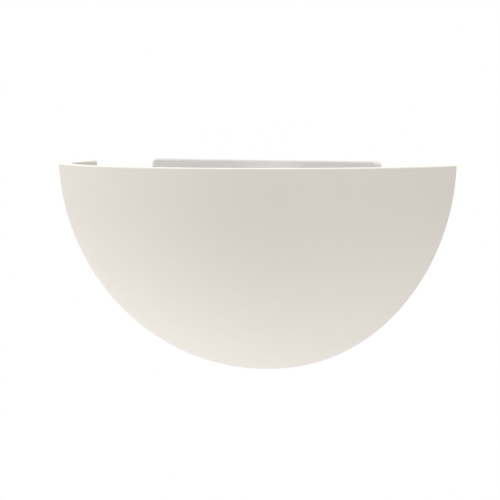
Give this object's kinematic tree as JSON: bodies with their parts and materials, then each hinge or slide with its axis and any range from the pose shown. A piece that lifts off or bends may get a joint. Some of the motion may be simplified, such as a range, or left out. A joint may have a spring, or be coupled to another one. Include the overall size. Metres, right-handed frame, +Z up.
{
  "type": "uplighter wall sconce",
  "caption": "Half-bowl uplighter wall light on a pressed wall plate, with a linear lamp above a reflector trough.",
  "frame": {"origin": "on the wall plane, midway between the wall-fixing slots", "axes": "+Z up, -Y out of the wall into the room, +X to the right of someone who faces the wall"},
  "size_m": [0.2998, 0.1499, 0.1524],
  "materials": {
    "plaster": "matt cast plaster, sealed",
    "white_enamel": "satin white powder coat",
    "zinc": "zinc plated",
    "fibre": "red vulcanised fibre",
    "nickel_brass": "nickel plated brass, knurled",
    "aluminium": "plain",
    "bright_aluminium": "bright rolled, semi-specular",
    "steatite": "unglazed steatite",
    "nickel_contact": "nickel plated, silver tipped",
    "spring_steel": "stainless spring wire",
    "brass": "plain",
    "quartz": "clear quartz",
    "lamp_ceramic": "white ceramic lamp end",
    "tungsten": "wound tungsten coil",
    "block_ceramic": "white glazed porcelain",
    "grommet_rubber": "black silicone rubber",
    "clamp_nylon": "natural nylon",
    "tinned_copper": "tinned",
    "sleeve_brown": "silicone sleeve",
    "sleeve_blue": "silicone sleeve",
    "sleeve_green": "silicone sleeve, green with a yellow stripe"
  },
  "bodies": {
    "fitting": {"wall_plate": "white_enamel", "bowl_studs": "zinc", "lamp_tray": "white_enamel", "tray_rivets": "aluminium", "reflector": "bright_aluminium", "reflector_screws": "zinc", "lampholder_left": "steatite", "lampholder_right": "steatite", "lampholder_screws": "zinc", "contact_spring_left": "spring_steel", "contact_spring_right": "spring_steel", "contact_terminal_left": "brass", "contact_terminal_right": "brass", "terminal_block": "block_ceramic", "terminal_inserts": "brass", "terminal_screws": "zinc", "block_screws": "zinc", "cable_grommet": "grommet_rubber", "cable_clamp": "clamp_nylon", "clamp_screws": "zinc", "earth_tag": "tinned_copper", "earth_screw": "brass", "live_wire": "sleeve_brown", "neutral_wire": "sleeve_blue", "earth_wire": "sleeve_green"},
    "bowl": {"bowl": "plaster"},
    "washer_left": {"nut_washer_left": "fibre"},
    "nut_left": {"thumb_nut_left": "nickel_brass"},
    "washer_right": {"nut_washer_right": "fibre"},
    "nut_right": {"thumb_nut_right": "nickel_brass"},
    "lamp": {"lamp_tube": "quartz", "lamp_cap_left": "lamp_ceramic", "lamp_cap_right": "lamp_ceramic", "lamp_filament": "tungsten"},
    "pin_left": {"contact_pin_left": "nickel_contact"},
    "pin_right": {"contact_pin_right": "nickel_contact"}
  },
  "joints": [
    {"name": "bowl_pull", "type": "slide", "parent": "fitting", "child": "bowl", "axis": [0, -1, 0], "range_m": [0, 0.12]},
    {"name": "nut_left_run", "type": "slide", "parent": "bowl", "child": "washer_left", "axis": [0, -1, 0], "range_m": [0, 0.01505]},
    {"name": "nut_left_turn", "type": "hinge", "parent": "washer_left", "child": "nut_left", "pos_m": [-0.072, -0.02, -0.008], "axis": [0, -1, 0], "range_deg": [0, 7714.3]},
    {"name": "nut_right_run", "type": "slide", "parent": "bowl", "child": "washer_right", "axis": [0, -1, 0], "range_m": [0, 0.01505]},
    {"name": "nut_right_turn", "type": "hinge", "parent": "washer_right", "child": "nut_right", "pos_m": [0.072, -0.02, -0.008], "axis": [0, -1, 0], "range_deg": [0, 7714.3]},
    {"name": "lamp_shift", "type": "slide", "parent": "fitting", "child": "lamp", "axis": [1, 0, 0], "range_m": [0, 0.0025]},
    {"name": "contact_right_press", "type": "slide", "parent": "fitting", "child": "pin_right", "axis": [1, 0, 0], "range_m": [0, 0.0025], "stiffness_N_per_m": 400, "springref_m": -0.0015, "deforming": ["contact_spring_right"]},
    {"name": "contact_left_press", "type": "slide", "parent": "fitting", "child": "pin_left", "axis": [-1, 0, 0], "range_m": [0, 0.0025], "stiffness_N_per_m": 400, "springref_m": -0.0015, "deforming": ["contact_spring_left"]}
  ],
  "couplings": [
    {"joint": "nut_left_run", "follows": "nut_left_turn", "m_per_rad": 0.00011141},
    {"joint": "nut_right_run", "follows": "nut_right_turn", "m_per_rad": 0.00011141},
    {"joint": "contact_right_press", "follows": "lamp_shift", "ratio": 1}
  ]
}
